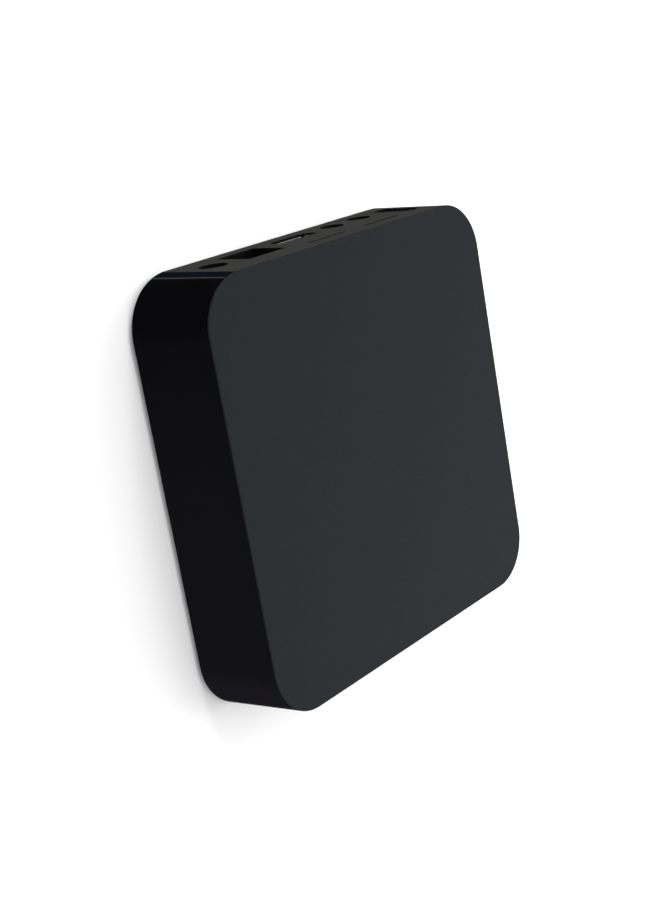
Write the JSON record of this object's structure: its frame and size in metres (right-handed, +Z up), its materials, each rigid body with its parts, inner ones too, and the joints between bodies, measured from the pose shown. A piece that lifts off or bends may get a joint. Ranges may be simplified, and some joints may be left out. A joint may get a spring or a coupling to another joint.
{
  "type": "streaming media player",
  "caption": "Flat square set-top box with round corners: matte lid, gloss side band, rear and side sockets, and a circuit board with a heat sink inside.",
  "frame": {"origin": "on the standing surface, under the middle of the box", "axes": "+X to the right seen from the front, +Y to the rear (port) face, +Z up"},
  "size_m": [0.12, 0.12, 0.028],
  "materials": {
    "lid_soft_touch": "soft-touch matte",
    "band_gloss_black": "high gloss",
    "rear_textured": "fine spark texture",
    "base_plastic": "matte moulded",
    "foot_rubber": "matte",
    "window_smoked": "polished smoked",
    "screw_steel": "zinc plated",
    "board_laminate": "green solder mask",
    "chip_epoxy": "moulded epoxy",
    "pad_silicone": "soft silicone",
    "sink_aluminium": "extruded",
    "capacitor_aluminium": "drawn can",
    "coil_ferrite": "pressed ferrite",
    "shield_tin": "tin plated",
    "cable_jacket": "smooth jacket",
    "contact_gold": "gold plated",
    "socket_plastic": "glass-filled nylon",
    "tongue_plastic": "natural nylon",
    "socket_steel": "nickel plated",
    "spring_steel": "drawn wire",
    "switch_plastic": "moulded",
    "receiver_epoxy": "dark epoxy",
    "lamp_clear": "clear epoxy"
  },
  "bodies": {
    "housing": {"antenna_cable": "cable_jacket", "antenna_plug": "contact_gold", "av_jack": "socket_plastic", "base_cover": "base_plastic", "board_screw_1": "screw_steel", "board_screw_2": "screw_steel", "board_screw_3": "screw_steel", "board_screw_4": "screw_steel", "capacitor_1": "capacitor_aluminium", "capacitor_2": "capacitor_aluminium", "card_socket_base": "socket_plastic", "card_socket_shell": "socket_steel", "card_spring": "spring_steel", "case_screw_front_left": "screw_steel", "case_screw_front_right": "screw_steel", "case_screw_rear_left": "screw_steel", "case_screw_rear_right": "screw_steel", "crystal": "shield_tin", "dc_jack": "socket_plastic", "dc_jack_pin": "socket_steel", "debug_header": "socket_plastic", "digital_audio_jack": "socket_plastic", "ethernet_contacts": "contact_gold", "ethernet_jack": "socket_plastic", "ethernet_phy": "chip_epoxy", "ethernet_transformer": "chip_epoxy", "flash_chip": "chip_epoxy", "foot_front_left": "foot_rubber", "foot_front_right": "foot_rubber", "foot_rear_left": "foot_rubber", "foot_rear_right": "foot_rubber", "front_window": "window_smoked", "hdmi_shell": "socket_steel", "hdmi_tongue": "socket_plastic", "heatsink": "sink_aluminium", "inductor_1": "coil_ferrite", "inductor_2": "coil_ferrite", "ir_receiver": "receiver_epoxy", "main_board": "board_laminate", "power_regulator": "chip_epoxy", "ram_chip_1": "chip_epoxy", "ram_chip_2": "chip_epoxy", "ram_chip_3": "chip_epoxy", "ram_chip_4": "chip_epoxy", "rear_panel": "rear_textured", "reset_switch": "switch_plastic", "side_band": "band_gloss_black", "soc": "chip_epoxy", "status_led": "lamp_clear", "thermal_pad": "pad_silicone", "top_cover": "lid_soft_touch", "usb_shell_1": "socket_steel", "usb_shell_2": "socket_steel", "usb_tongue_1": "tongue_plastic", "usb_tongue_2": "tongue_plastic", "wifi_antenna": "board_laminate", "wifi_module": "shield_tin"},
    "reset_plunger": {"reset_button": "tongue_plastic"},
    "card_carriage": {"card_slider": "tongue_plastic"}
  },
  "joints": [
    {"name": "reset_push", "type": "slide", "parent": "housing", "child": "reset_plunger", "axis": [-1, 0, 0], "range_m": [0, 0.0003], "stiffness_N_per_m": 5000},
    {"name": "card_push", "type": "slide", "parent": "housing", "child": "card_carriage", "axis": [-1, 0, 0], "range_m": [0, 0.006], "stiffness_N_per_m": 250, "deforming": ["card_spring"]}
  ]
}
